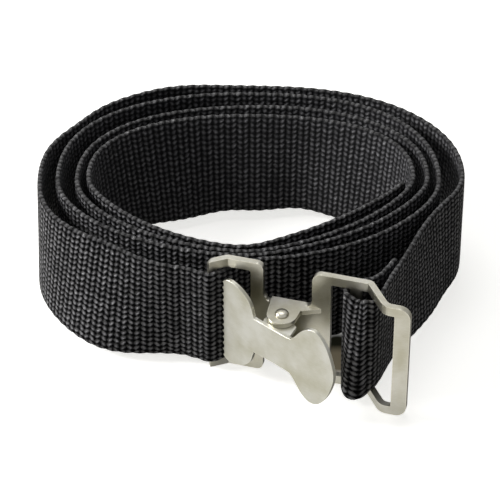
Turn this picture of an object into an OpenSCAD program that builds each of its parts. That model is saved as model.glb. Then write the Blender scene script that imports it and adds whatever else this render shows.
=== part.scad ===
// Dive weight belt: webbing wound in a flat coil and closed by a stamped
// stainless cam buckle. Millimetres, +Z up, resting on the buckle's bottom
// edge. The buckle faces -Y, its strap entry is on the -X side.
// In the plan, right is +X, left is -X, back is +Y and front is -Y.

/* [Webbing] */
// Width of the webbing
web_w = 49; // [44:0.5:49]
// Thickness of the webbing
web_t = 2.4; // [1.8:0.1:2.4]
// Steps used for each quarter turn of the coil
quarter_steps = 16; // [8:1:24]

/* [Coil] */
// Half width of the outer wrap, left to right
coil_w = 96; // [94:1:104]
// Depth of the outer wrap behind the coil centre
coil_back = 76; // [74:1:84]
// Roundness of the coil behind its centre (2 is an ellipse)
round_back = 2.35; // [2:0.05:2.6]
// Roundness of the outer wrap's front left corner
round_front = 2.35; // [2.2:0.05:2.5]

/* [Buckle frame] */
// Height of the stamped frame
frame_h = 58.4; // [58.4:0.1:60]
// Thickness of the frame plate
frame_t = 2.8; // [2:0.1:2.8]
// Angle of the buckle to the coil's long axis
yaw = 16.5; // [15.5:0.5:17]
// Step of the end bar towards the outside
joggle = 13.1; // [12.6:0.1:13.4]
// Height of the waist that carries the two ears
waist_w = 22; // [21.9:0.1:22.6]

/* [Lever] */
// Thickness of the lever plate
lever_t = 1.8; // [1.4:0.1:2]
// Angle between the closed lever and the frame plate
lever_angle = 25.5; // [25:0.5:26.5]
// Number of teeth on the gripping edge
teeth = 11; // [7:1:13]

/* [Pivot] */
// Diameter of the pivot pin
pin_d = 4; // [3.4:0.1:4.2]
// Diameter of the riveted heads
head_d = 6.2; // [5.4:0.1:6.6]

/* [View] */
// Piece to draw, or all of them

/* [Hidden] */
$fn = 48;

mid = frame_h / 2;                // mid height of every piece
plan_shift = [-0.75, 8.616];      // brings the whole part over the origin
coil_centre = [0, 8];
buckle_origin = [-21.6, -51.2];   // where u = n = 0 lies, before plan_shift
pin_u = 40;                       // pivot axis in buckle coordinates
pin_n = 11;
ear_t = 2.3;
ear_out = waist_w / 2;            // outer face of each ear from mid height

// ---------- vectors and curves ----------
function unit(v) = v / norm(v);
function left_of(v) = [-v.y, v.x];
function reversed(list) = [for (i = [len(list) - 1:-1:0]) list[i]];
function drop_first(list) = [for (i = [1:len(list) - 1]) list[i]];
function drop_last(list) = [for (i = [0:len(list) - 2]) list[i]];

function tangent(path, i) =
    unit(path[min(i + 1, len(path) - 1)] - path[max(i - 1, 0)]);
function beside(path, distance) =
    [for (i = [0:len(path) - 1]) path[i] + distance * left_of(tangent(path, i))];
// outline of a strip along a path, between two distances to its left
function ribbon(path, from, to) = concat(beside(path, from), reversed(beside(path, to)));

// Catmull-Rom curve through the knots, end points included
function spline_point(before, start, end, after, t) = 0.5 * ((2 * start) + (end - before) * t
    + (2 * before - 5 * start + 4 * end - after) * t * t
    + (3 * start - before - 3 * end + after) * t * t * t);
function curve(knots, steps) = let (last = len(knots) - 1) concat(
    [for (i = [0:last - 1], j = [0:steps - 1])
        spline_point(knots[max(i - 1, 0)], knots[i], knots[i + 1],
                     knots[min(i + 2, last)], j / steps)],
    [knots[last]]);

// polyline with every corner replaced by an arc
function bent(path, radius, steps) = concat(
    [path[0]],
    [for (i = [1:len(path) - 2])
        let (back = unit(path[i - 1] - path[i]),
             ahead = unit(path[i + 1] - path[i]),
             half = acos(back * ahead) / 2,
             centre = path[i] + unit(back + ahead) * radius / sin(half),
             start = path[i] + back * radius / tan(half),
             end = path[i] + ahead * radius / tan(half))
        for (j = [0:steps])
            centre + radius * unit((start - centre) * (1 - j / steps)
                                   + (end - centre) * (j / steps))],
    [path[len(path) - 1]]);

// ---------- placing ----------
// buckle coordinates (u along the plate, n outwards) to plan coordinates
function in_plan(p) = [buckle_origin.x + p.x * cos(yaw) - p.y * sin(yaw),
                       buckle_origin.y - p.x * sin(yaw) - p.y * cos(yaw)];

// children are drawn in buckle coordinates: X = u, Y = n, Z up
module at_buckle()
    translate([plan_shift.x + buckle_origin.x, plan_shift.y + buckle_origin.y, 0])
        rotate([0, 0, -yaw])
            mirror([0, 1, 0])
                children();

// extrudes a flat outline in (u, z) through the plate, to both sides
module through(depth = 60)
    translate([0, depth / 2, 0])
        rotate([90, 0, 0])
            linear_extrude(depth)
                children();

// ---------- coil ----------
// Columns of the table of wraps. The roundness numbers are for the front
// corners; the outer wrap has no front right corner, the strap leads in there.
RIGHT = 0;                        // half width right of the centre
BACK = 1;                         // depth behind the centre
LEFT = 2;                         // half width left of the centre
FRONT = 3;                        // depth in front of the centre
ROUND_LEFT = 4;
ROUND_RIGHT = 5;
wraps = [
    [coil_w,        coil_back,        coil_w - 1.5,  67,   round_front],
    [coil_w - 11.5, coil_back - 8,    coil_w - 9.5,  56.3, 1.8,  1.8],
    [coil_w - 16.3, coil_back - 19.5, coil_w - 18.3, 53.5, 1.75, 1.55],
    [coil_w - 22.8, coil_back - 26,   coil_w - 23.3, 50.7, 1.55, 1.5]];
second_front = 59.3;              // front depth where the second wrap starts
outer_end = 246;                  // angle where the outer wrap ends
second_start = 283;               // angle where the second wrap starts
tail_start = 262;                 // angle where the free end leaves the last wrap

// superellipse round the coil centre; angles turn from right over the back
function wrap_radius(angle, width, depth, roundness) =
    pow(pow(abs(cos(angle)) / width, roundness) + pow(abs(sin(angle)) / depth, roundness),
        -1 / roundness);
function on_wrap(angle, width, depth, roundness) =
    coil_centre + wrap_radius(angle, width, depth, roundness) * [cos(angle), sin(angle)];
// the point at the end angle is left to the next stretch
function wrap_arc(from, to, width, depth, roundness) =
    let (steps = round(quarter_steps * (to - from) / 90))
    [for (i = [0:steps - 1])
        on_wrap(from + (to - from) * i / steps, width, depth, roundness)];

function back_half(wrap) = concat(
    wrap_arc(0, 90, wrap[RIGHT], wrap[BACK], round_back),
    wrap_arc(90, 180, wrap[LEFT], wrap[BACK], round_back));
function front_left(wrap, to) =
    wrap_arc(180, to, wrap[LEFT], wrap[FRONT], wrap[ROUND_LEFT]);
function front_left_point(wrap, angle) =
    on_wrap(angle, wrap[LEFT], wrap[FRONT], wrap[ROUND_LEFT]);
// depth is that of the stretch it carries on from
function front_right(from, wrap, depth) =
    wrap_arc(from, 360, wrap[RIGHT], depth, wrap[ROUND_RIGHT]);

// Short end, [u, n]: starts behind the end window, goes out through the bar
// slot, loosely round the bar and back in through the end window.
fold_knots = [
    [80.9, -24.5], [79, -17],    [76.8, -10.8], [73.2, -6.9], [69, -4.6],
    [66.3, -1.7],  [65.6, 1.6],  [66.4, 5],     [69, 8.4],    [73, 10.4],
    [76.8, 9.4],   [79.6, 6.2],  [80.9, 1],     [81.7, -6.5], [82.6, -14.5]];
fold = curve([for (p = fold_knots) in_plan(p)], 3);

// from the end window to the right hand side of the outer wrap, plan [x, y]
lead = curve([fold[len(fold) - 1], [69.4, -46.2], [78.4, -28.5], [86.2, -13.5], [93, -2],
              coil_centre + [coil_w, 0]], 5);

// over the lip, under the teeth, through the entry window, behind the frame, [u, n]
dip_knots = [[2.8, 8.9], [6.9, 9.45], [11, 5.9], [15.2, 0.9], [19.8, -3.9], [26, -8.2]];
dip = curve(concat(
    [front_left_point(wraps[0], outer_end)],
    [for (p = dip_knots) in_plan(p)],
    [on_wrap(second_start, wraps[1][RIGHT], second_front, wraps[1][ROUND_RIGHT])]), 4);

// the free end springs away from the last wrap towards the right, plan [x, y]
tail = curve([front_left_point(wraps[3], tail_start),
              [3, -41], [17, -34.8], [28, -29.2], [41, -21.4], [52, -13.2],
              [61.4, -4.6], [69.2, 4.8]], 4);

strap_path = concat(
    drop_last(fold),
    lead,
    drop_first(back_half(wraps[0])),
    front_left(wraps[0], outer_end),
    dip,
    drop_first(front_right(second_start, wraps[1], second_front)),
    [for (i = [1, 2], p = concat(back_half(wraps[i]),
                                 front_left(wraps[i], 270),
                                 front_right(270, wraps[i + 1], wraps[i][FRONT]))) p],
    back_half(wraps[3]),
    front_left(wraps[3], tail_start),
    tail);

module webbing_strap() color([0.09, 0.09, 0.10])
    translate([plan_shift.x, plan_shift.y, mid - web_w / 2])
        linear_extrude(web_w)
            polygon(ribbon(strap_path, web_t / 2, -web_t / 2));

// ---------- buckle frame ----------
lip_tip = [4.9, 5.56];            // free edge of the lip, [u, n]
lip_u = 12.6;                     // the lip bends up here
joggle_u = [76.8, 86.8];          // start and end of the step
end_u = 97;
plate_bend_r = 3.2;
waist_u = [29.2, 51];
waist_r = 3;
waist_over = 9;                   // the waist cuts run past the frame by this
bar_u = [67.5, 72.5];             // bar that carries the folded short end
opening_h = 49.6;
rail = (frame_h - opening_h) / 2; // height of the long rails
// openings: from u, to u, corner radius
openings = [
    [8.6,      23.6,     1.2],    // entry window
    [59.3,     bar_u[0], 0.6],    // bar slot
    [bar_u[1], 90.2,     0.6]];   // end window
// rounded at top and bottom: u, side the metal lies on, radius
outer_corners = [
    [waist_u[0], -1, 3],
    [waist_u[1], 1,  4],
    [lip_tip.x,  1,  2.6],
    [end_u,      -1, 5]];
ear_r = 6.5;
ear_foot = 7.6;                   // half width of each ear where it leaves the plate
gusset_u = 15.2;                  // reach of the gusset from the pivot axis
gusset_rise = 3.6;                // height of the gusset above the plate
relief_r = 1.1;
relief_gap = 0.9;                 // relief centre beyond the ear's foot

// rectangle between two opposite corners, with rounded corners
module slot(low, high, r) {
    translate([low.x + r, low.y]) square([high.x - low.x - 2 * r, high.y - low.y]);
    translate([low.x, low.y + r]) square([high.x - low.x, high.y - low.y - 2 * r]);
    for (x = [low.x + r, high.x - r], y = [low.y + r, high.y - r])
        translate([x, y]) circle(r);
}

// tool that rounds one outer corner; the sides give where the metal lies
module corner(at, side_x, side_y, r)
    translate(at)
        mirror([side_x > 0 ? 0 : 1, 0])
            mirror([0, side_y > 0 ? 0 : 1])
                difference() {
                    translate([-1, -1]) square(r + 1);
                    translate([r, r]) circle(r);
                }

module frame_plate() {
    line = bent([lip_tip, [lip_u, 0], [joggle_u[0], 0], [joggle_u[1], joggle],
                 [end_u, joggle]], plate_bend_r, 5);
    linear_extrude(frame_h) polygon(ribbon(line, 0, frame_t));
}

module frame_cuts() {
    for (o = openings) slot([o[0], rail], [o[1], frame_h - rail], o[2]);
    // waist between the two halves
    slot([waist_u[0], mid + ear_out], [waist_u[1], frame_h + waist_over], waist_r);
    slot([waist_u[0], -waist_over], [waist_u[1], mid - ear_out], waist_r);
    for (c = outer_corners) {
        corner([c[0], frame_h], c[1], -1, c[2]);
        corner([c[0], 0], c[1], 1, c[2]);
    }
    // bend relief at the foot of each ear
    for (s = [-1, 1])
        translate([pin_u - ear_foot - relief_gap, mid + s * ear_out]) circle(relief_r);
}

// s is 1 for the upper ear, -1 for the lower one
module frame_ear(s) {
    foot = [ear_foot, pin_n - frame_t / 2];   // from the left foot to the pivot axis
    // each side runs from its foot, tangent to the round end
    slope = atan2(foot.y, foot.x) + asin(ear_r / norm(foot));
    touch = sqrt(foot * foot - ear_r * ear_r) * [cos(slope), sin(slope)] - foot;
    gusset_top = frame_t + gusset_rise - pin_n;
    translate([0, 0, s > 0 ? mid + ear_out - ear_t : mid - ear_out])
        linear_extrude(ear_t) difference() {
            translate([pin_u, pin_n]) union() {
                circle(ear_r);
                polygon([-foot, [foot.x, -foot.y], [-touch.x, touch.y], touch]);
                // gusset on the side of the thumb tab
                polygon([[0, -foot.y], [gusset_u, -foot.y], [gusset_u, frame_t - pin_n],
                         [ear_foot, gusset_top], [0, gusset_top]]);
            }
            translate([pin_u, pin_n]) circle(d = pin_d);
        }
}

module buckle_frame() color([0.78, 0.77, 0.72]) at_buckle() {
    difference() {
        frame_plate();
        through() frame_cuts();
    }
    frame_ear(1);
    frame_ear(-1);
}

// ---------- cam lever ----------
// lever coordinates: X = along the plate from its teeth, Y = outwards, Z up
lever_origin = [13, 6];           // inner corner of the toothed edge, [u, n]
to_pin = [pin_u, pin_n] - lever_origin;
lever_pin = [to_pin.x * cos(lever_angle) + to_pin.y * sin(lever_angle),
             to_pin.y * cos(lever_angle) - to_pin.x * sin(lever_angle)];
lever_waist = 9.2;                // half width of the lever waist
tab_bend = 4;                     // the thumb tab turns back by this angle
tab_x = 42;                       // where it starts to turn
tab_len = 24;                     // runs past the end of the outline
tab_bend_r = 30;
blank_h = 48;                     // clears the widest part of the outline
tooth_span = 37.5;
gullet_r = 1.75;
gullet_x = -0.75;
cheek_out = ear_out - ear_t - 0.15;   // outer face of each cheek, clear of the ear
cheek_r = 4;
bore_gap = 0.05;                  // pin to lever bore, radial

// distance from the toothed edge, half width
lever_half = curve([
    [0, 19.4],    [0.9, 21],    [2.8, 22.2],  [5.6, 22.4],  [9.2, 21.4],
    [12.2, 19.8], [14.8, 17.6], [16.6, 14.8], [17.5, 11.8], [18.2, 10],
    [19.8, lever_waist],        [36.6, lever_waist],
    [39.3, 10],   [41.6, 12.4], [43.4, 15],   [45.6, 17.5], [48.1, 19.3],
    [50.6, 19.9], [53.2, 19.3], [56, 16.9],   [58.8, 12.2], [60.9, 6.4],
    [61.8, 2.6],  [62, 0]], 4);
// side view of a cheek, from the plate down to the pivot
cheek_outline = [
    [22.2, lever_t / 2], [37.2, lever_t / 2], [36.6, -1.6], [35, -6.9],
    lever_pin + [3, -2.6], lever_pin + [-3, -2.6], [20.9, -4.4], [20.9, -2]];

module lever_outline() difference() {
    polygon(concat(lever_half, [for (p = reversed(lever_half)) [p.x, -p.y]]));
    for (i = [0:teeth])
        translate([gullet_x, (i - teeth / 2) * tooth_span / teeth]) circle(gullet_r);
}

module lever_plate() {
    line = bent([[0, 0], [tab_x, 0],
                 [tab_x + tab_len * cos(tab_bend), -tab_len * sin(tab_bend)]],
                tab_bend_r, 4);
    intersection() {
        translate([0, 0, -blank_h / 2])
            linear_extrude(blank_h) polygon(ribbon(line, 0, lever_t));
        through() lever_outline();
    }
}

// s is 1 for the upper cheek, -1 for the lower one
module lever_cheek(s)
    translate([0, 0, s > 0 ? cheek_out - lever_t : -cheek_out])
        linear_extrude(lever_t) difference() {
            union() {
                polygon(cheek_outline);
                translate(lever_pin) circle(cheek_r);
            }
            translate(lever_pin) circle(d = pin_d + 2 * bore_gap);
        }

module cam_lever() color([0.82, 0.81, 0.76]) at_buckle()
    translate([lever_origin.x, lever_origin.y, mid]) rotate([0, 0, lever_angle]) {
        lever_plate();
        for (s = [-1, 1]) lever_cheek(s);
    }

// ---------- pivot pin ----------
head_t = 1.8;
head_power = 0.7;                 // below 1 the head is fuller than an ellipse

module rivet_head()
    rotate_extrude()
        polygon(concat([[0, 0]], [for (a = [0:15:90])
            [head_d / 2 * pow(cos(a), head_power), head_t * sin(a)]]));

module pivot_pin() color([0.74, 0.73, 0.69]) at_buckle()
    translate([pin_u, pin_n, mid - ear_out]) {
        cylinder(h = waist_w, d = pin_d);
        for (s = [0, 1])
            translate([0, 0, s * waist_w]) mirror([0, 0, 1 - s]) rivet_head();
    }

webbing_strap();
buckle_frame();
cam_lever();
pivot_pin();
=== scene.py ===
"""A coiled webbing strap with a steel cam buckle, standing on edge on a white studio floor.

Z is up. The camera looks along +Y, so front is -Y, back is +Y, left is -X and right is +X.
The strap is wound anticlockwise seen from above, from the buckle at the front into the coil.
Strap sizes are in millimetres; everything handed to Blender is in metres.
"""
import math
from collections import namedtuple

import bpy
import numpy as np
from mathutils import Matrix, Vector


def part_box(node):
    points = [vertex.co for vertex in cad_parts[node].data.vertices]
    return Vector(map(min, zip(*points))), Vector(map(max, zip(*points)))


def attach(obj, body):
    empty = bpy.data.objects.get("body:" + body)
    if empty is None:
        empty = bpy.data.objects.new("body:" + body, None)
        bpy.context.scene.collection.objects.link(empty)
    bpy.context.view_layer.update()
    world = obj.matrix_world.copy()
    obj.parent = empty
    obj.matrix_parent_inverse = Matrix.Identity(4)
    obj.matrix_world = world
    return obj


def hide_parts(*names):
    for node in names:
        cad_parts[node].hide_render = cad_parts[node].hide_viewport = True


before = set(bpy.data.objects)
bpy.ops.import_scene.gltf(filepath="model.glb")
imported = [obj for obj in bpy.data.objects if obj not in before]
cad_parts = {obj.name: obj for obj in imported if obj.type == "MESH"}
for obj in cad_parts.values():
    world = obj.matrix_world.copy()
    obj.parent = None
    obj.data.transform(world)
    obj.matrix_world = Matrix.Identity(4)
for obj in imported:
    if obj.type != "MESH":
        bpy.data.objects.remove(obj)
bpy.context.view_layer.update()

MM = 0.001

# ------------------------------------------------------------------ strap sizes, mm
WEB_THICK, WEB_WIDTH = 2.4, 49.0
RIB = 2.86                # one woven column, along the strap
PICK = 2.56               # one stroke of the chevron, across the strap
STEP = RIB / 4            # mesh spacing along the strap
EDGE_ROUND = 0.85         # height of the rounding at each selvedge
FACE_POINTS, EDGE_POINTS = 14, 4     # cross-section points on a face and on a selvedge

BUCKLE_YAW = math.radians(16.5)
BUCKLE_ORIGIN = np.array([-21.6, -51.2])
COIL_CENTRE = np.array([0.0, 8.0])

COIL_SIDE, COIL_BACK = 96.0, 76.0    # outermost wrap, from the coil's centre
BACK_POWER = 2.35                    # superellipse power: 2 is an ellipse, more is squarer
ARC_STEPS = 48                       # centre-line steps per quarter turn

# Reach of each wrap from the coil's centre, and the powers of its front quarters.
# The front right quarter leads into a wrap; the first wrap is entered from the buckle instead.
Wrap = namedtuple("Wrap", "right back left front front_left_power front_right_power")
WRAPS = [
    Wrap(COIL_SIDE, COIL_BACK, COIL_SIDE - 1.5, 67, 2.35, None),
    Wrap(COIL_SIDE - 11.5, COIL_BACK - 8, COIL_SIDE - 9.5, 56.3, 1.8, 1.8),
    Wrap(COIL_SIDE - 16.3, COIL_BACK - 19.5, COIL_SIDE - 18.3, 53.5, 1.75, 1.55),
    Wrap(COIL_SIDE - 22.8, COIL_BACK - 26, COIL_SIDE - 23.3, 50.7, 1.55, 1.5),
]
DIP_FRONT = 59.3          # front reach of the coil where the strap comes out of the dip
# Angles round the coil, degrees anticlockwise from +X
DIP_START, DIP_END, TAIL_START = 246, 283, 262

# Points in the buckle's frame: (along, forward); see buckle_point
SLOT, LOOP, RAIL, LEAD = (66.4, 5), (73, 10.4), (79.6, 6.2), (82.6, -14.5)
DIP = (11, 5.9)
FOLD_POINTS = [
    (80.9, -24.5), (79, -17), (76.8, -10.8), (73.2, -6.9), (69, -4.6), (66.3, -1.7),
    (65.6, 1.6), SLOT, (69, 8.4), LOOP, (76.8, 9.4), RAIL, (80.9, 1), (81.7, -6.5), LEAD,
]
DIP_POINTS = [(2.8, 8.9), (6.9, 9.45), DIP, (15.2, 0.9), (19.8, -3.9), (26, -8.2)]
# Points in the plan frame: (x, y)
LEAD_POINTS = [(69.4, -46.2), (78.4, -28.5), (86.2, -13.5), (93, -2)]
TAIL_POINTS = [
    (3, -41), (17, -34.8), (28, -29.2), (41, -21.4), (52, -13.2), (61.4, -4.6), (69.2, 4.8),
]

# Bumps round the coil: (height, centre in degrees, width in degrees)
OUTER_LEAN = [(0.25, 219, 27), (0.11, -28, 24)]                 # slope
OUTER_KICK = [(3.0, 233, 13), (-1.3, 203, 11)]                  # mm, outwards
OUTER_RIPPLE = [(3.2, 152, 11), (1.0, 52, 24), (-1.5, 190, 22),
                (-2.3, 117, 15), (-0.8, 6, 14)]                 # mm, inwards
INNER_FOOT = [(0.19, 128, 28), (0.10, 84, 18), (0.11, 42, 17)]  # slope


# ------------------------------------------------------------------ strap centre line
def buckle_point(along, forward):
    """Plan point from the buckle's frame; `along` runs right, `forward` to the front."""
    cos, sin = math.cos(BUCKLE_YAW), math.sin(BUCKLE_YAW)
    return BUCKLE_ORIGIN + np.array([along * cos - forward * sin, -along * sin - forward * cos])


def catmull(keys, steps):
    """Catmull-Rom curve through the keys, as a list of points."""
    keys = [np.array(key, float) for key in keys]
    last, points = len(keys) - 1, []
    for i in range(last):
        before, start, end, after = (keys[j] for j in (max(i - 1, 0), i, i + 1, min(i + 2, last)))
        for j in range(steps):
            t = j / steps
            points.append(0.5 * (2 * start + (end - before) * t
                                 + (2 * before - 5 * start + 4 * end - after) * t * t
                                 + (3 * start - before - 3 * end + after) * t ** 3))
    return points + [keys[last]]


def on_oval(degrees, reach_x, reach_y, power):
    """Point on a superellipse about the coil's centre."""
    angle = math.radians(degrees)
    cos, sin = math.cos(angle), math.sin(angle)
    radius = (abs(cos / reach_x) ** power + abs(sin / reach_y) ** power) ** (-1 / power)
    return COIL_CENTRE + radius * np.array([cos, sin])


def arc(start, end, reach_x, reach_y, power):
    """Superellipse arc without its last point."""
    steps = round(ARC_STEPS * (end - start) / 90)
    return [on_oval(start + (end - start) * i / steps, reach_x, reach_y, power)
            for i in range(steps)]


def back_half(wrap):
    return (arc(0, 90, wrap.right, wrap.back, BACK_POWER)
            + arc(90, 180, wrap.left, wrap.back, BACK_POWER))


def front_left(wrap, end):
    return arc(180, end, wrap.left, wrap.front, wrap.front_left_power)


def front_right(start, wrap, front):
    return arc(start, 360, wrap.right, front, wrap.front_right_power)


def strap_centre_line():
    """Centre line of the webbing from its short end to its free end."""
    first, second, inmost = WRAPS[0], WRAPS[1], WRAPS[3]
    fold = catmull([buckle_point(*point) for point in FOLD_POINTS], 9)
    lead = catmull([buckle_point(*LEAD), *LEAD_POINTS, COIL_CENTRE + [COIL_SIDE, 0]], 12)
    dip = catmull([on_oval(DIP_START, first.left, first.front, first.front_left_power),
                   *[buckle_point(*point) for point in DIP_POINTS],
                   on_oval(DIP_END, second.right, DIP_FRONT, second.front_right_power)], 12)
    tail = catmull([on_oval(TAIL_START, inmost.left, inmost.front, inmost.front_left_power),
                    *TAIL_POINTS], 12)
    points = fold[:-1] + lead + back_half(first)[1:] + front_left(first, DIP_START)
    points += dip + front_right(DIP_END, second, DIP_FRONT)[1:]
    for wrap, following in zip(WRAPS[1:], WRAPS[2:]):
        points += back_half(wrap) + front_left(wrap, 270)
        points += front_right(270, following, wrap.front)
    return np.array(points + back_half(inmost) + front_left(inmost, TAIL_START) + tail)


def resample(points, step):
    """Evenly spaced points and their distances along the line."""
    gaps = np.linalg.norm(np.diff(points, axis=0), axis=1)
    points = points[np.concatenate([[True], gaps > 1e-6])]
    gaps = np.linalg.norm(np.diff(points, axis=0), axis=1)
    length = np.concatenate([[0], np.cumsum(gaps)])
    even = np.linspace(0, length[-1], int(round(length[-1] / step)) + 1)
    return np.stack([np.interp(even, length, points[:, axis]) for axis in (0, 1)], 1), even


def smooth(points, sigma, step):
    """Gaussian smoothing; the line is reflected through its ends so that they stay put."""
    reach = int(4 * sigma / step) + 1
    kernel = np.exp(-0.5 * (np.arange(-reach, reach + 1) * step / sigma) ** 2)
    kernel /= kernel.sum()
    result = points.copy()
    for axis in range(2):
        line = points[:, axis]
        padded = np.concatenate([2 * line[0] - line[reach:0:-1], line,
                                 2 * line[-1] - line[-2:-reach - 2:-1]])
        result[:, axis] = np.convolve(padded, kernel, "valid")
    return result


def smoothstep(start, end, x):
    t = np.clip((x - start) / (end - start), 0, 1)
    return t * t * (3 - 2 * t)


def hills(angle, table):
    return sum(height * np.exp(-((angle - centre) / width) ** 2)
               for height, centre, width in table)


# ------------------------------------------------------------------ strap mesh
def strap_path():
    """Path, distances along it, freedom from the buckle and the marks' distances."""
    path, distance = resample(strap_centre_line(), STEP)

    def distance_at(mark, points):
        return distance[np.argmin(np.linalg.norm(points - buckle_point(*mark), axis=1))]

    near_buckle = path[: len(path) // 3]
    marks = {mark: distance_at(mark, near_buckle) for mark in (SLOT, LOOP, RAIL, LEAD)}
    marks[DIP] = distance_at(DIP, path)
    # 1 well away from the buckle, 0 where metal is close to the webbing
    from_dip = distance - marks[DIP]
    in_dip = smoothstep(-60, -18, from_dip) * (1 - smoothstep(30, 80, from_dip))
    free = smoothstep(marks[LEAD] - 6, marks[LEAD] + 44, distance) * (1 - in_dip)
    sharp, soft = smooth(path, 0.8, STEP), smooth(path, 3.2, STEP)
    return sharp + (soft - sharp) * free[:, None], distance, free, marks


def strap_unevenness(path, distance, free, marks):
    """Lean (upper edge outwards), ripple (inwards, mm) and lift (upwards, mm) on the path."""
    # winding angle round the coil in degrees, growing along the strap, about -60 at the lead
    from_centre = path - COIL_CENTRE
    wind = np.degrees(np.unwrap(np.arctan2(from_centre[:, 1], from_centre[:, 0])))
    at_lead = wind[np.argmin(np.abs(distance - marks[LEAD]))]
    wind += round((-60 - at_lead) / 360) * 360
    turn = np.mod(wind, 360)
    inner = smoothstep(marks[DIP], marks[DIP] + 120, distance)     # 0 on the outer wrap
    outer = 1 - inner
    behind = np.maximum(smoothstep(-25, 25, turn) * (1 - smoothstep(155, 205, turn)),
                        smoothstep(335, 385, turn))

    # the back wall leans outwards, more so on the inner wraps, up to the free end
    lean = behind * (0.038 + 0.032 * inner) * (1 - smoothstep(1330, 1360, wind))
    lean -= outer * hills(wind, OUTER_LEAN)
    # slow waves along the whole strap
    ripple = 0.22 * np.sin(distance / 23.0 + 0.6) + 0.16 * np.sin(distance / 11.3 + 2.1)
    lift = 0.35 * np.sin(distance / 61.0 + 1.0) + 0.25 * np.sin(distance / 27.0)
    # only the lower edge of the outer wrap moves: outwards in front, inwards at the left corner
    kick = outer * hills(wind, OUTER_KICK)
    lean -= kick / WEB_WIDTH
    ripple += outer * hills(wind, OUTER_RIPPLE) - kick / 2
    # the innermost wall sags inwards at its foot, its upper edge stays where it is
    foot = smoothstep(1000, 1070, wind) * hills(turn, INNER_FOOT)
    lean = lean + foot
    ripple += foot * WEB_WIDTH / 2
    lean, ripple, lift = lean * free, ripple * free, lift * free

    # the loose loop round the hidden bar has slipped down a little and leans on the bar
    slot, loop, rail = marks[SLOT], marks[LOOP], marks[RAIL]
    lift -= 2.0 * smoothstep(slot, loop, distance) * (1 - smoothstep(loop, rail - 2.5, distance))
    lean -= (0.15 * smoothstep(slot - 1, loop - 1, distance)
             * (1 - smoothstep(loop, rail, distance)))
    return lean, ripple, lift


def cross_section():
    """Columns: offset towards the inside, height, face (1 outer, -1 inner), selvedge (1 top)."""
    half_thick, half_width = WEB_THICK / 2, WEB_WIDTH / 2
    ring = []
    for side in (1, -1):       # outer face and top edge, then inner face and bottom edge
        for i in range(FACE_POINTS):
            rise = (2 * half_width - 2 * EDGE_ROUND) * i / (FACE_POINTS - 1)
            ring.append((-side * half_thick, side * (-half_width + EDGE_ROUND + rise), side, 0))
        for i in range(1, EDGE_POINTS + 1):
            angle = math.pi * i / (EDGE_POINTS + 1)
            ring.append((-side * half_thick * math.cos(angle),
                         side * (half_width - EDGE_ROUND + EDGE_ROUND * math.sin(angle)),
                         0, side))
    return np.array(ring, float).T


def tube_mesh(name, points, rings, ring_size):
    """Closed tube: rings of points joined by quads, then a centre point for each end cap."""
    ring_start = np.arange(rings - 1)[:, None] * ring_size
    near = np.arange(ring_size)
    ahead = (near + 1) % ring_size
    quads = np.stack([ring_start + near, ring_start + ahead, ring_start + ring_size + ahead,
                      ring_start + ring_size + near], 2).reshape(-1, 4)
    last = (rings - 1) * ring_size
    first_cap = np.stack([np.full(ring_size, rings * ring_size), ahead, near], 1)
    last_cap = np.stack([np.full(ring_size, rings * ring_size + 1), last + near, last + ahead], 1)
    loops = np.concatenate([quads.ravel(), first_cap.ravel(), last_cap.ravel()])
    starts = np.concatenate([np.arange(len(quads)) * 4,
                             len(quads) * 4 + np.arange(2 * ring_size) * 3])
    totals = np.concatenate([np.full(len(quads), 4), np.full(2 * ring_size, 3)])

    mesh = bpy.data.meshes.new(name)
    mesh.vertices.add(len(points))
    mesh.vertices.foreach_set("co", points.astype(np.float32).ravel())
    mesh.loops.add(len(loops))
    mesh.loops.foreach_set("vertex_index", loops.astype(np.int32))
    mesh.polygons.add(len(starts))
    mesh.polygons.foreach_set("loop_start", starts.astype(np.int32))
    mesh.polygons.foreach_set("loop_total", totals.astype(np.int32))
    mesh.update(calc_edges=True)
    mesh.validate()
    mesh.polygons.foreach_set("use_smooth", np.ones(len(mesh.polygons), bool))
    return mesh


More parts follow.
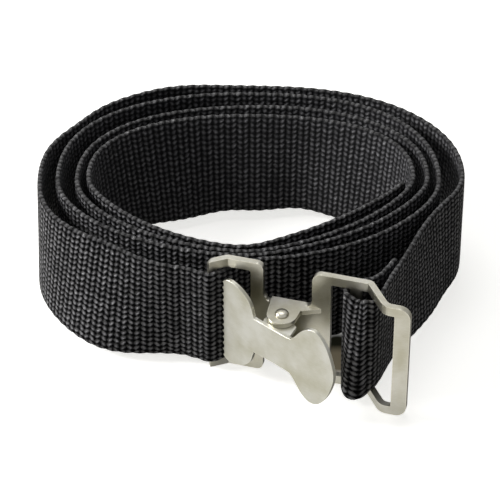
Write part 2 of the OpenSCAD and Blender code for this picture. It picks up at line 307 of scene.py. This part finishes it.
def build_strap():
    path, distance, free, marks = strap_path()
    tangent = np.gradient(path, axis=0)
    tangent /= np.linalg.norm(tangent, axis=1)[:, None]
    inward = np.stack([-tangent[:, 1], tangent[:, 0]], 1)
    # the middle of the strap's outline goes to the middle of the CAD strap's box
    low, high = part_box("webbing_strap")
    outline = np.concatenate([path + inward * WEB_THICK / 2, path - inward * WEB_THICK / 2])
    shift = (np.array([(low.x + high.x) / 2, (low.y + high.y) / 2]) / MM
             - (outline.min(0) + outline.max(0)) / 2)
    middle_z = (low.z + high.z) / 2 / MM
    lean, ripple, lift = strap_unevenness(path, distance, free, marks)

    offset, height, face, selvedge = cross_section()
    column = distance / RIB
    groove = 0.5 + 0.5 * np.cos(2 * np.pi * column)        # 1 on column boundaries
    edge_loop = np.abs(np.sin(np.pi * column / 2))         # one per two columns
    sunk = -0.16 * groove ** 2
    thick = offset[None, :] + np.sign(offset)[None, :] * np.abs(face)[None, :] * sunk[:, None]
    rise = height[None, :] + selvedge[None, :] * (0.42 * (edge_loop[:, None] - 0.55))
    # webbing is a hair thinner at its selvedges
    thick = thick * (1 - 0.14 * (np.abs(rise) / (WEB_WIDTH / 2)) ** 6)
    sideways = thick - lean[:, None] * rise + ripple[:, None]
    plan = path[:, None, :] + shift + inward[:, None, :] * sideways[:, :, None]
    z = middle_z + rise + lift[:, None]
    points = np.concatenate([plan, z[:, :, None]], 2).reshape(-1, 3) * MM
    # the centre points of the end caps stand 0.2 mm proud
    caps = [np.append(path[end] + shift + out * tangent[end] * 0.2, middle_z + lift[end]) * MM
            for end, out in ((0, -1), (-1, 1))]
    rings, ring_size = len(path), len(offset)
    mesh = tube_mesh("webbing", np.concatenate([points, caps]), rings, ring_size)

    # what the webbing material reads; the last two values belong to the cap centres
    to_end = np.minimum(distance - distance[0], distance[-1] - distance)
    attributes = {
        "along": np.append(np.repeat(distance, ring_size), [distance[0], distance[-1]]),
        "across": np.append(np.tile(height, rings), [0, 0]),
        "rim": np.append(np.tile(np.abs(selvedge), rings), [1, 1]),
        "inside": np.append(np.tile((face < 0) * 1.0, rings), [0, 0]),
        "cut": np.append(np.repeat(1 - smoothstep(0.6, 2.6, to_end), ring_size), [1, 1]),
    }
    for name, values in attributes.items():
        attribute = mesh.attributes.new(name, "FLOAT", "POINT")
        attribute.data.foreach_set("value", values.astype(np.float32))
    strap = bpy.data.objects.new("webbing", mesh)
    bpy.context.scene.collection.objects.link(strap)
    return strap


# ------------------------------------------------------------------ shader helpers
class Value:
    """An output of a shader node; arithmetic on it adds math nodes."""

    def __init__(self, graph, node, out=0):
        self.graph, self.node, self.out = graph, node, out

    def __getitem__(self, name):
        """Another output of the same node."""
        return Value(self.graph, self.node, name)

    def __add__(self, other):
        return self.graph.math("ADD", self, other)

    def __sub__(self, other):
        return self.graph.math("SUBTRACT", self, other)

    def __rsub__(self, other):
        return self.graph.math("SUBTRACT", other, self)

    def __mul__(self, other):
        return self.graph.math("MULTIPLY", self, other)

    def __truediv__(self, other):
        return self.graph.math("DIVIDE", self, other)

    def __pow__(self, other):
        return self.graph.math("POWER", self, other)

    def scaled(self, by, plus):
        return self.graph.math("MULTIPLY_ADD", self, by, plus)

    def clamped(self):
        """Clamp the result of the math node just made to 0..1."""
        self.node.use_clamp = True
        return self


class Graph:
    """A node tree; input and output sockets go by name or number."""

    def __init__(self, tree):
        self.tree = tree

    def connect(self, socket, value):
        if isinstance(value, Value):
            self.tree.links.new(value.node.outputs[value.out], socket)
        else:
            socket.default_value = value

    def node(self, kind, inputs=None, out=0, **settings):
        node = self.tree.nodes.new(kind)
        for name, setting in settings.items():
            setattr(node, name, setting)
        for name, value in (inputs or {}).items():
            self.connect(node.inputs[name], value)
        return Value(self, node, out)

    def math(self, operation, first, second=0.0, third=None):
        inputs = {0: first, 1: second}
        if third is not None:
            inputs[2] = third
        return self.node("ShaderNodeMath", inputs, operation=operation)

    def attribute(self, name):
        return self.node("ShaderNodeAttribute", out="Fac", attribute_name=name)

    def mix(self, factor, a, b):
        """Colour mix."""
        return self.node("ShaderNodeMix", {0: factor, 6: a, 7: b}, out=2, data_type="RGBA")

    def lerp(self, factor, a, b):
        return self.node("ShaderNodeMix", {0: factor, 2: a, 3: b}, data_type="FLOAT")

    def noise(self, vector, scale, detail, rough=0.5):
        return self.node("ShaderNodeTexNoise", {"Vector": vector, "Scale": scale,
                                                "Detail": detail, "Roughness": rough})

    def mapping(self, vector, **inputs):
        return self.node("ShaderNodeMapping", {"Vector": vector, **inputs})

    def ramp(self, factor, stops):
        """Ramp of greys; stops are (position, grey)."""
        ramp = self.node("ShaderNodeValToRGB", {0: factor})
        elements = ramp.node.color_ramp.elements
        while len(elements) < len(stops):
            elements.new(0.5)
        for i, (position, grey) in enumerate(stops):
            elements[i].position = position
            elements[i].color = (grey, grey, grey, 1)
        return ramp

    def bump(self, height, strength, distance, over=None):
        inputs = {"Strength": strength, "Distance": distance, "Height": height}
        if over is not None:
            inputs["Normal"] = over
        return self.node("ShaderNodeBump", inputs)

    def ray(self, kind):
        return self.node("ShaderNodeLightPath", out=kind)

    def object_coord(self):
        return self.node("ShaderNodeTexCoord", out="Object")

    def surface(self, inputs):
        shader = self.node("ShaderNodeBsdfPrincipled", inputs)
        self.node("ShaderNodeOutputMaterial", {0: shader})


def new_material(name):
    material = bpy.data.materials.new(name)
    material.use_nodes = True
    material.node_tree.nodes.clear()
    return material, Graph(material.node_tree)


# ------------------------------------------------------------------ materials
def webbing_material():
    """Herringbone nylon: slanted strokes that turn at every column, with painted shade darkening
    the pits between columns.
    """
    material, g = new_material("webbing_nylon")
    along, across, rim, cut, inside = (
        g.attribute(name) for name in ("along", "across", "rim", "cut", "inside"))
    coord = g.object_coord()

    def column_seed():
        return g.math("FLOOR", along / RIB) + 0.37

    # weave: two columns per chevron, each column beaten down its own way
    chevron = g.math("FRACT", along / (2 * RIB))
    zigzag = g.math("ABSOLUTE", chevron * 2.0 - 1.0)
    wobble = (g.noise(coord, scale=300.0, detail=2.0) - 0.5) * 0.75
    own = g.node("ShaderNodeTexWhiteNoise", {"W": column_seed()}, out="Value",
                 noise_dimensions="1D")
    wobble = wobble + own * 0.30
    pick = across / PICK + zigzag * 0.36 + wobble
    stroke = g.math("COSINE", pick * (2 * math.pi)).scaled(by=0.5, plus=0.5) ** 0.75
    rib = g.math("SINE", g.math("FRACT", along / RIB) * math.pi) ** 1.25
    pit = ((1.0 - stroke) * (1.0 - rib).scaled(by=0.85, plus=0.46)).clamped()
    # painted shade: some column joints are darker, as though they sat deeper than others
    joint = g.node("ShaderNodeCombineXYZ", {0: along / (2 * RIB), 1: across * 0.012})
    band = g.noise(joint, scale=0.9, detail=2.0, rough=0.6)
    deep = ((band - 0.42).clamped() * 3.2).clamped()
    # painted shade mask for the darker column joints
    joint_shade = ((1.0 - rib) * deep).clamped()
    yarn = (1.0 - pit * 1.5).clamped() * (1.0 - joint_shade * 0.6)
    strands = g.math("COSINE", pick * (8 * math.pi)).scaled(by=0.5, plus=0.5)
    height = stroke * rib.scaled(by=0.6, plus=0.2) + rib * 0.25 + strands * 0.05

    # lightness: painted shade in the pits and in the grooves between columns, then every other
    # column, every stroke and three sizes of noise vary it
    blotch = g.noise(coord, scale=60.0, detail=4.0)
    fuzz = g.noise(coord, scale=2600.0, detail=2.0)
    speck = g.noise(coord, scale=900.0, detail=2.0, rough=0.6)
    odd_column = g.math("GREATER_THAN", chevron, 0.5)
    cell = g.node("ShaderNodeCombineXYZ", {0: column_seed(), 1: g.math("ROUND", pick) + 0.41})
    own_stroke = g.node("ShaderNodeTexWhiteNoise", {"Vector": cell}, out="Value",
                        noise_dimensions="2D")
    # painted shade: the colour darkens where the yarn gives way to pits, and the rib factor below
    # darkens the grooves between columns
    light = yarn ** 1.9
    for factor, by, plus in ((rib, 1.15, 0.12), (odd_column, 0.08, 0.97), (own_stroke, 0.8, 0.6),
                             (speck, 1.9, 0.05), (fuzz, 1.1, 0.45), (blotch, 0.6, 0.7)):
        light = light * factor.scaled(by, plus)
    # the inner face is beaten flatter: less depth between the strokes, fine upright ribs
    light = g.lerp(inside * 0.45, light, rib.scaled(by=0.22, plus=0.10))

    base = g.mix(light, (0.0010, 0.0010, 0.0014, 1), (0.180, 0.178, 0.190, 1))
    rim_color = g.mix(fuzz * 0.9, (0.022, 0.022, 0.024, 1), (0.115, 0.113, 0.112, 1))
    base = g.mix(rim * 0.8, base, rim_color)
    weave_bump = g.bump(height * inside.scaled(by=-0.4, plus=1.0), strength=1.0, distance=0.0011)
    g.surface({
        "Base Color": g.mix(cut, base, (0.006, 0.006, 0.006, 1)),
        "Roughness": g.lerp(cut, yarn.scaled(by=-0.14, plus=0.62), 0.35),
        "Specular IOR Level": light.scaled(by=0.42, plus=0.01),
        "Sheen Weight": 0.06,
        "Sheen Roughness": 0.4,
        "Normal": g.bump(fuzz, strength=0.35, distance=0.00012, over=weave_bump),
    })
    return material


def steel_material(name, tint, roughness, seed):
    """Satin rolled steel: faint grain, cloudy marks, hairline scratches, edges lightened with
    painted highlight.
    """
    material, g = new_material(name)
    vector = g.mapping(g.object_coord(), Location=(seed * 0.13, seed * 0.07, seed * 0.11))
    grain_vector = g.mapping(vector, Rotation=(0, 0, BUCKLE_YAW), Scale=(1.0, 1.0, 18.0))
    grain = g.noise(grain_vector, scale=380.0, detail=4.0, rough=0.6)
    cloud = g.noise(vector, scale=55.0, detail=4.0, rough=0.55)
    patch = g.noise(vector, scale=95.0, detail=3.0)
    fine = g.noise(vector, scale=1500.0, detail=2.0)
    scratch_vector = g.mapping(vector, Rotation=(0.5, 0.9, 0.4), Scale=(1.0, 26.0, 1.0))
    scratch = g.ramp(g.noise(scratch_vector, scale=160.0, detail=2.0, rough=0.7),
                     [(0.0, 0.0), (0.655, 0.0), (0.70, 1.0), (1.0, 1.0)])
    # painted highlight on the edges, which are also smoother: the bevel normal differs from the
    # face normal near an edge
    bevel = g.node("ShaderNodeBevel", {"Radius": 0.0009}, samples=6)
    normal = g.node("ShaderNodeNewGeometry", out="Normal")
    facing = g.node("ShaderNodeVectorMath", {0: bevel, 1: normal}, out="Value",
                    operation="DOT_PRODUCT")
    edge = g.ramp(facing, [(0.0, 1.0), (0.80, 0.9), (0.985, 0.0), (1.0, 0.0)])

    tone = g.ramp(cloud * 0.4 + patch * 0.4 + grain * 0.2,
                  [(0.0, 0.0), (0.40, 0.0), (0.60, 1.0), (1.0, 1.0)])
    dark = (tint[0] * 0.84, tint[1] * 0.83, tint[2] * 0.76, 1)
    bright = (tint[0] * 1.12, tint[1] * 1.13, tint[2] * 1.18, 1)
    # painted highlight colour for the edges
    edge_highlight = tuple(min(1, channel * 1.42) for channel in tint) + (1,)
    rough = cloud.scaled(by=0.14, plus=roughness - 0.07) + grain * 0.06 + scratch * 0.12
    relief = g.bump(cloud, strength=0.25, distance=0.0002)
    relief = g.bump(grain, strength=0.10, distance=0.00003, over=relief)
    relief = g.bump(fine, strength=0.08, distance=0.00003, over=relief)
    g.surface({
        # painted highlight: the base colour is lightened near the edges
        "Base Color": g.mix(edge * 0.8, g.mix(tone, dark, bright), edge_highlight),
        "Metallic": 1.0,
        "Roughness": (rough - edge * 0.06).clamped(),
        "Normal": g.bump(scratch, strength=-0.15, distance=0.00004, over=relief),
    })
    return material


def floor_material():
    """White sweep: bright to the camera and in the metal's reflections, dim as bounce light."""
    material, g = new_material("studio_floor")
    cloud = g.noise(g.object_coord(), scale=4.0, detail=2.0)
    seen, mirrored = g.ray("Is Camera Ray"), g.ray("Is Glossy Ray")
    white = g.mix(cloud, (0.86, 0.86, 0.85, 1), (0.90, 0.90, 0.895, 1))
    # oval contact shadow between the buckle, its loop and the second wrap, deeper to the back
    place = g.node("ShaderNodeSeparateXYZ", {0: g.object_coord()})
    shadow_x = (place["X"] - 0.0385) / 0.0105
    shadow_y = (place["Y"] + 0.0420) / 0.0180
    radius = g.math("SQRT", shadow_x * shadow_x + shadow_y * shadow_y)
    shade = g.ramp(radius, [(0.0, 1.0), (0.62, 1.0), (0.74, 0.8), (0.98, 0.0)])
    deep = g.ramp(place["Y"].scaled(by=50.0, plus=2.6),
                  [(0.0, 0.0), (0.50, 0.0), (0.60, 0.3), (0.78, 1.0), (1.0, 1.0)])
    umber = g.mix(deep, (0.118, 0.101, 0.068, 1), (0.008, 0.008, 0.005, 1))
    # what the metal mirrors is bright towards the left, dull towards the right
    incoming = g.node("ShaderNodeNewGeometry", out="Incoming")
    sideways = g.node("ShaderNodeSeparateXYZ", {0: incoming})["X"]
    left = g.ramp(sideways.scaled(by=0.5, plus=0.5),
                  [(0.0, 0.12), (0.27, 0.12), (0.46, 1.0), (1.0, 1.0)])
    g.surface({
        "Base Color": g.mix(seen, (0.34, 0.33, 0.30, 1), g.mix(shade, white, umber)),
        "Roughness": 0.8,
        "Specular IOR Level": 0.1,
        "Emission Color": g.mix(shade, (1.0, 0.995, 0.97, 1), umber),
        "Emission Strength": seen * 0.72 + mirrored * (left * 0.60),
    })
    return material


# ------------------------------------------------------------------ metal parts
def soften(part, bevel_width):
    """Merge the CAD facets and round the part's edges; the width is in mm."""
    weld = part.modifiers.new("weld", "WELD")
    weld.merge_threshold = 2e-6
    dissolve = part.modifiers.new("flat", "DECIMATE")
    dissolve.decimate_type = "DISSOLVE"
    dissolve.angle_limit = math.radians(0.5)
    bevel = part.modifiers.new("soft_edges", "BEVEL")
    bevel.width = bevel_width * MM
    bevel.segments = 3
    bevel.limit_method = "ANGLE"
    bevel.angle_limit = math.radians(32)
    bevel.use_clamp_overlap = True
    bevel.harden_normals = False


def dress(part, material):
    """Give every slot of the part the material, making a slot if the mesh has none."""
    if not part.data.materials:
        part.data.materials.append(material)
    for slot in part.material_slots:
        slot.link = "OBJECT"
        slot.material = material


# ------------------------------------------------------------------ stage
def build_floor(half_size=3.0, z=-0.0002):
    mesh = bpy.data.meshes.new("floor")
    corners = [(x * half_size, y * half_size, z) for x, y in ((-1, -1), (1, -1), (1, 1), (-1, 1))]
    mesh.from_pydata(corners, [], [(0, 1, 2, 3)])
    floor = bpy.data.objects.new("floor", mesh)
    floor.data.materials.append(floor_material())
    bpy.context.scene.collection.objects.link(floor)
    return floor


def place_aimed(name, data, location, direction):
    """Add a light or camera that looks along the direction."""
    item = bpy.data.objects.new(name, data)
    item.location = location
    item.rotation_euler = direction.to_track_quat("-Z", "Y").to_euler()
    bpy.context.scene.collection.objects.link(item)
    return item


def area_light(name, location, size, power, color=(1, 1, 1)):
    """Square light aimed at the middle of the coil."""
    light = bpy.data.lights.new(name, "AREA")
    light.energy = power
    light.size = size
    light.color = color
    place_aimed(name, light, location, Vector((0, 0, 0.03)) - Vector(location))


def build_world():
    """A dim room for the webbing, a bright one in the metal, brightest on the left."""
    world = bpy.data.worlds.new("studio")
    bpy.context.scene.world = world
    world.use_nodes = True
    g = Graph(world.node_tree)
    path = g.node("ShaderNodeLightPath")
    direction = g.node("ShaderNodeTexCoord", out="Generated")
    mirrored = g.node("ShaderNodeSeparateXYZ", {0: direction})["X"].scaled(by=-0.22, plus=0.66)
    room = g.lerp(path["Is Glossy Ray"], 0.135, mirrored)
    background = world.node_tree.nodes["Background"]
    g.connect(background.inputs[0], (1.0, 1.0, 1.0, 1))
    g.connect(background.inputs[1], g.lerp(path["Is Camera Ray"], room, 0.92))


def build_camera():
    """Camera in front, 37 degrees above the floor, square on to the coil's long axis."""
    elevation, distance = math.radians(37.0), 1.050
    target = Vector((-0.00075, 0.008616, 0.027))
    direction = Vector((0, math.cos(elevation), -math.sin(elevation)))
    camera = bpy.data.cameras.new("camera")
    camera.sensor_width = 36
    camera.lens = 165.6
    camera.shift_y = -0.028
    camera.clip_start = 0.05
    bpy.context.scene.camera = place_aimed("camera", camera, target - distance * direction,
                                           direction)


# ------------------------------------------------------------------ build
strap = build_strap()
strap.data.materials.append(webbing_material())
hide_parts("webbing_strap")
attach(strap, "belt")

# CAD node, material, tint, roughness, texture seed, bevel width in mm
METAL_PARTS = [
    ("buckle_frame", "frame_satin", (0.63, 0.61, 0.53), 0.30, 1, 0.55),
    ("cam_lever", "lever_satin", (0.64, 0.63, 0.56), 0.32, 4, 0.45),
    ("pivot_pin", "pin_satin", (0.62, 0.60, 0.53), 0.28, 7, 0.2),
]
for node_name, material_name, tint, roughness, seed, bevel_width in METAL_PARTS:
    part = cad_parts[node_name]
    dress(part, steel_material(material_name, tint, roughness, seed))
    soften(part, bevel_width)

floor = build_floor()
area_light("key", (-1.32, 0.0, 0.80), size=0.5, power=22.0, color=(1.0, 0.995, 0.98))
area_light("fill", (0.9, -0.9, 0.9), size=0.9, power=0.7)
area_light("top", (-0.1, 0.45, 1.3), size=0.7, power=4.6)
build_world()

view = bpy.context.scene.view_settings
view.view_transform = "Standard"
view.look = "None"
view.exposure = 0.0
view.gamma = 1.0
build_camera()
